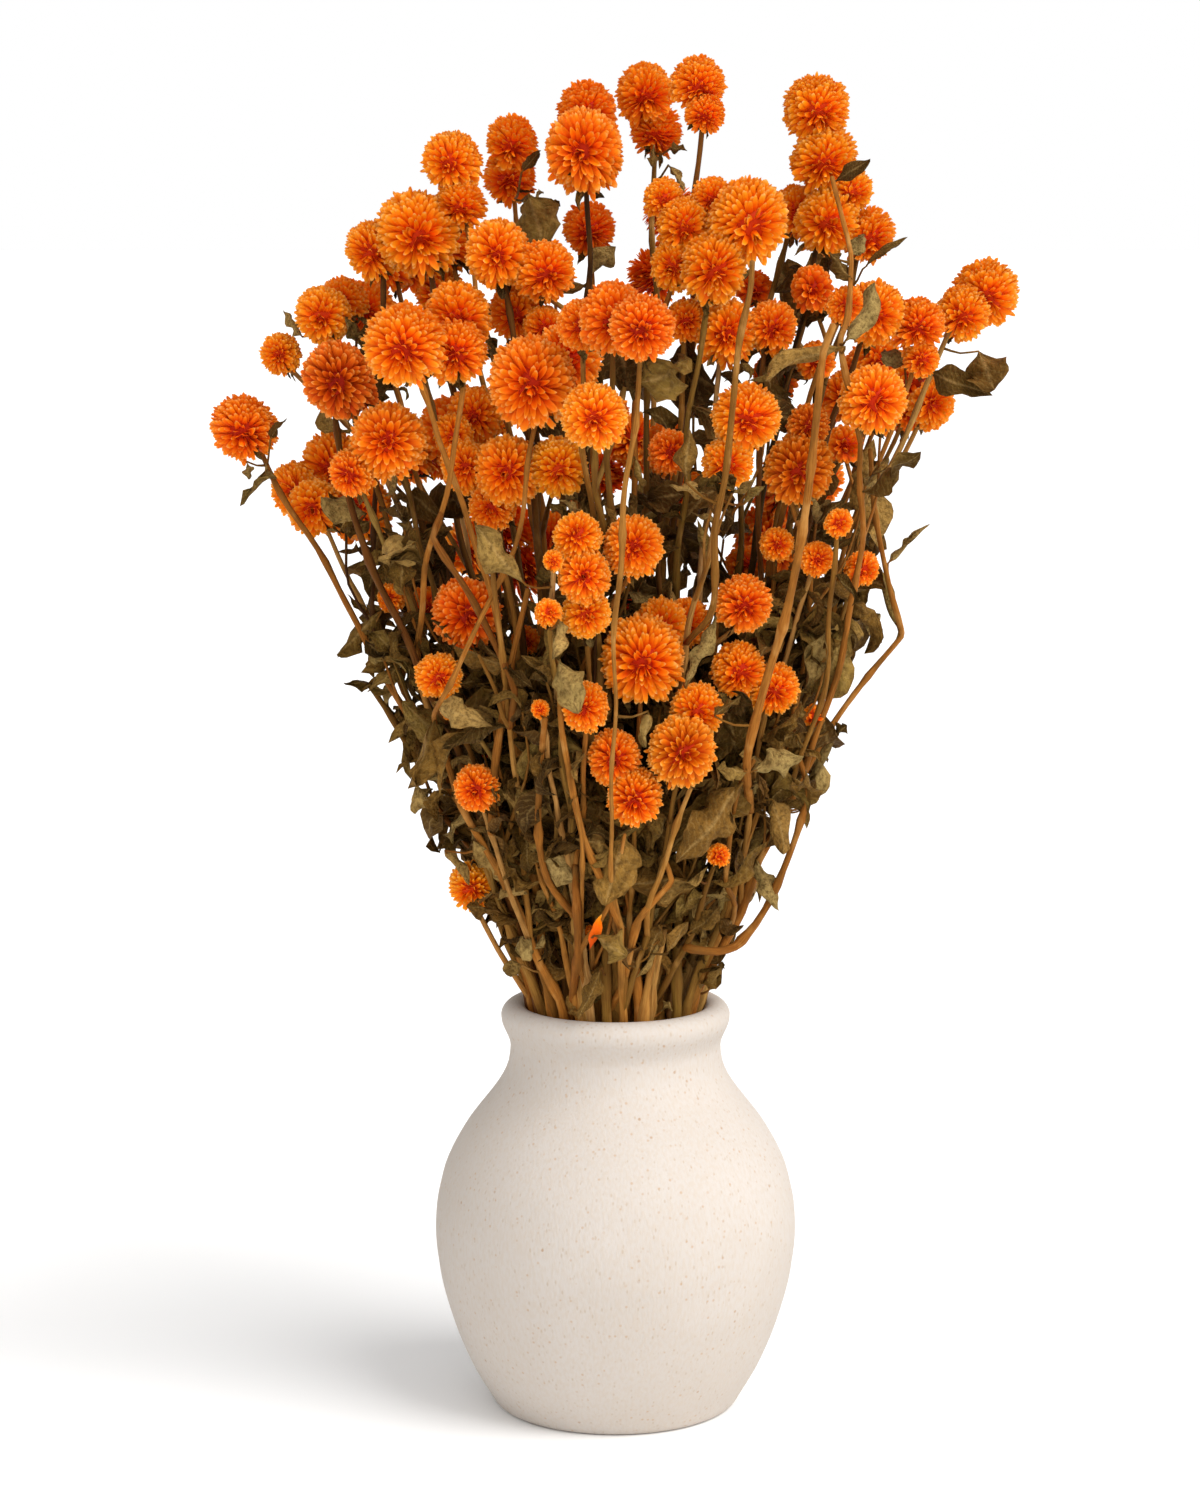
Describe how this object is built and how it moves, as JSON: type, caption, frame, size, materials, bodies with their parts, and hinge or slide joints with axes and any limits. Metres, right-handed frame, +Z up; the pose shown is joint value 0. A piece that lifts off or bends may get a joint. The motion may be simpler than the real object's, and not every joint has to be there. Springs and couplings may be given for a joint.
{
  "type": "vase of dried globe amaranth",
  "caption": "Loose, full bunch of dried globe amaranth with round orange heads and curled leaves, standing in a round cream stoneware vase with a rolled lip.",
  "frame": {"origin": "middle of the vase's flat foot", "axes": "+Z up through the vase's mouth and the bunch, -Y towards the viewer of the picture, +X to the viewer's right"},
  "size_m": [0.3376, 0.2364, 0.5737],
  "materials": {
    "stoneware": "matte",
    "dried_bracts": "dry, papery",
    "dried_stems": "dry, rough"
  },
  "bodies": {
    "root": {"bloom_back_01": "dried_bracts", "bloom_back_02": "dried_bracts", "bloom_back_03": "dried_bracts", "bloom_back_04": "dried_bracts", "bloom_back_05": "dried_bracts", "bloom_back_06": "dried_bracts", "bloom_back_07": "dried_bracts", "bloom_back_08": "dried_bracts", "bloom_back_09": "dried_bracts", "bloom_centre_back": "dried_bracts", "bloom_centre_bright": "dried_bracts", "bloom_centre_crown": "dried_bracts", "bloom_centre_gap": "dried_bracts", "bloom_centre_great": "dried_bracts", "bloom_centre_left": "dried_bracts", "bloom_centre_low": "dried_bracts", "bloom_centre_low_left": "dried_bracts", "bloom_centre_mid": "dried_bracts", "bloom_centre_red": "dried_bracts", "bloom_column_left": "dried_bracts", "bloom_far_left": "dried_bracts", "bloom_left_base": "dried_bracts", "bloom_left_cheek": "dried_bracts", "bloom_left_crown": "dried_bracts", "bloom_left_dark": "dried_bracts", "bloom_left_front": "dried_bracts", "bloom_left_low": "dried_bracts", "bloom_left_outer": "dried_bracts", "bloom_left_pale": "dried_bracts", "bloom_left_peak": "dried_bracts", "bloom_left_rim": "dried_bracts", "bloom_left_shade": "dried_bracts", "bloom_left_shoulder": "dried_bracts", "bloom_low_pair": "dried_bracts", "bloom_low_right_pair": "dried_bracts", "bloom_middle_peak": "dried_bracts", "bloom_middle_small": "dried_bracts", "bloom_right_crown": "dried_bracts", "bloom_right_inner": "dried_bracts", "bloom_right_low_pair": "dried_bracts", "bloom_right_lower": "dried_bracts", "bloom_right_mid": "dried_bracts", "bloom_right_mid_top": "dried_bracts", "bloom_right_peak": "dried_bracts", "bloom_right_peak_low": "dried_bracts", "bloom_right_shoulder": "dried_bracts", "bloom_right_tip": "dried_bracts", "spray_01": "dried_stems", "spray_02": "dried_stems", "spray_03": "dried_stems", "spray_04": "dried_stems", "spray_05": "dried_stems", "spray_06": "dried_stems", "spray_07": "dried_stems", "spray_08": "dried_stems", "spray_09": "dried_stems", "spray_10": "dried_stems", "spray_11": "dried_stems", "spray_12": "dried_stems", "vase": "stoneware"}
  },
  "joints": []
}
